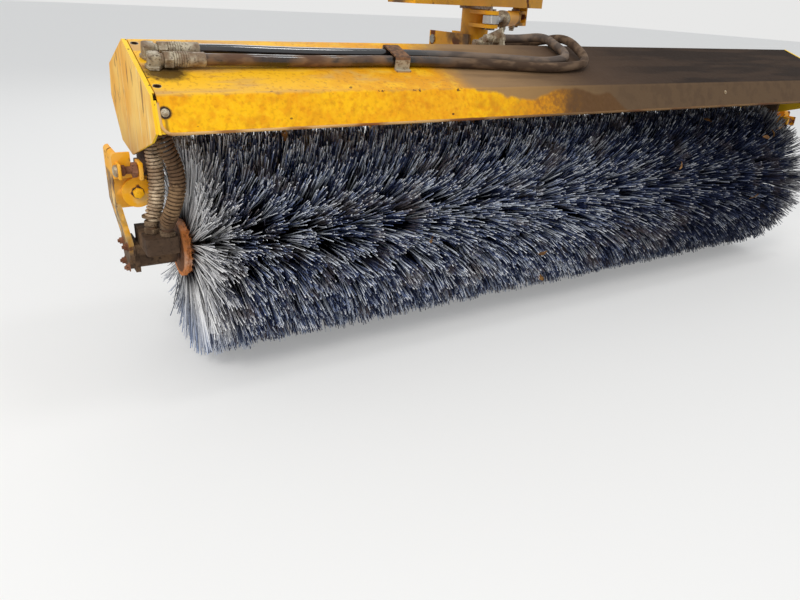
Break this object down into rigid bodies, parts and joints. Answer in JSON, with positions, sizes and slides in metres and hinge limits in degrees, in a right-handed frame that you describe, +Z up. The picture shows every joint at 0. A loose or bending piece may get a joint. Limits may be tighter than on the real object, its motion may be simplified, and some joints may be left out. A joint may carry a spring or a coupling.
{
  "type": "rotary broom head of a self-propelled broom",
  "caption": "Hooded cylindrical brush on a beam that lifts on a rockshaft and swings on a kingpin under a bolted cross beam, driven by a hydraulic motor.",
  "frame": {"origin": "on the top face of the pivot beam, over the kingpin", "axes": "+X along the brush, away from the drive motor; -Y to the front of the hood; +Z up"},
  "size_m": [2.724, 1.0269, 1.005],
  "materials": {
    "hood_paint": "faded yellow paint with dust, chips and scratches",
    "arm_paint": "chipped yellow paint with mud",
    "frame_paint": "dusty yellow paint",
    "muddy_steel": "mud covered steel",
    "rusty_steel": "orange rust",
    "pin_steel": "worn steel",
    "rod_chrome": "hard chrome",
    "fitting_steel": "dusty plated steel",
    "hose_rubber": "black rubber with dust",
    "guard_spring": "muddy coiled guard",
    "bristle": "navy bristles with pale tips"
  },
  "bodies": {
    "mount": {"pivot_beam": "frame_paint", "kingpin": "pin_steel", "kingpin_nut": "rusty_steel", "swing_anchor": "frame_paint", "swing_anchor_pin": "pin_steel"},
    "swing_frame": {"swing_hub": "frame_paint", "swing_lugs": "frame_paint", "swing_lug_pin": "pin_steel", "swing_cheeks": "frame_paint", "lift_top_pin": "pin_steel", "swing_crossmember": "frame_paint", "shaft_bearing_left": "frame_paint", "shaft_bearing_right": "frame_paint"},
    "carriage": {"rockshaft": "frame_paint", "lift_arm_left": "frame_paint", "lift_arm_right": "frame_paint", "lift_lever": "frame_paint", "lift_lever_pin": "pin_steel", "broom_beam": "frame_paint", "hood_panel": "hood_paint", "hood_end_left": "hood_paint", "hood_end_right": "hood_paint", "hood_cleats": "hood_paint", "hanger_left": "muddy_steel", "hanger_right": "muddy_steel", "pivot_block_left": "arm_paint", "pivot_block_right": "arm_paint", "end_arm_left": "arm_paint", "end_arm_right": "arm_paint", "cradle_bar_left": "muddy_steel", "cradle_bar_right": "muddy_steel", "level_bolt_left": "rusty_steel", "level_bolt_right": "rusty_steel", "drive_motor": "muddy_steel", "idler_bearing": "muddy_steel", "hose_elbows": "fitting_steel", "hose_rear": "hose_rubber", "hose_front": "hose_rubber", "hose_clamp": "fitting_steel", "hose_couplers": "fitting_steel", "guard_hose_left": "guard_spring", "guard_hose_right": "guard_spring"},
    "brush": {"brush_core": "rusty_steel", "bristle_wafers": "bristle"},
    "swing_barrel": {"swing_barrel": "frame_paint"},
    "swing_rod": {"swing_rod": "rod_chrome"},
    "lift_barrel": {"lift_barrel": "frame_paint"},
    "lift_rod": {"lift_rod": "rod_chrome"}
  },
  "joints": [
    {"name": "broom_swing", "type": "hinge", "parent": "mount", "child": "swing_frame", "pos_m": [0, 0, -0.2], "axis": [0, 0, 1], "range_deg": [0, 52]},
    {"name": "broom_lift", "type": "hinge", "parent": "swing_frame", "child": "carriage", "pos_m": [0, 0, -0.46], "axis": [-1, 0, 0], "range_deg": [0, 12]},
    {"name": "brush_spin", "type": "hinge", "parent": "carriage", "child": "brush", "pos_m": [0, -0.42, -0.7], "axis": [1, 0, 0], "continuous": true},
    {"name": "swing_barrel_turn", "type": "hinge", "parent": "mount", "child": "swing_barrel", "pos_m": [0.31458, 0.15343, -0.13], "axis": [0, 0, 1], "range_deg": [0, 12]},
    {"name": "swing_rod_slide", "type": "slide", "parent": "swing_barrel", "child": "swing_rod", "axis": [-0.7671, -0.6415, 0], "range_m": [-0.112, 0]},
    {"name": "lift_barrel_turn", "type": "hinge", "parent": "swing_frame", "child": "lift_barrel", "pos_m": [0, 0.18, -0.215], "axis": [-1, 0, 0], "range_deg": [0, 1]},
    {"name": "lift_rod_slide", "type": "slide", "parent": "lift_barrel", "child": "lift_rod", "axis": [0, 0, -1], "range_m": [0, 0.04]}
  ],
  "couplings": [
    {"joint": "swing_barrel_turn", "follows": "broom_swing", "ratio": 0.22},
    {"joint": "swing_rod_slide", "follows": "broom_swing", "m_per_rad": -0.114},
    {"joint": "lift_barrel_turn", "follows": "broom_lift", "ratio": 0.06},
    {"joint": "lift_rod_slide", "follows": "broom_lift", "m_per_rad": 0.179}
  ]
}
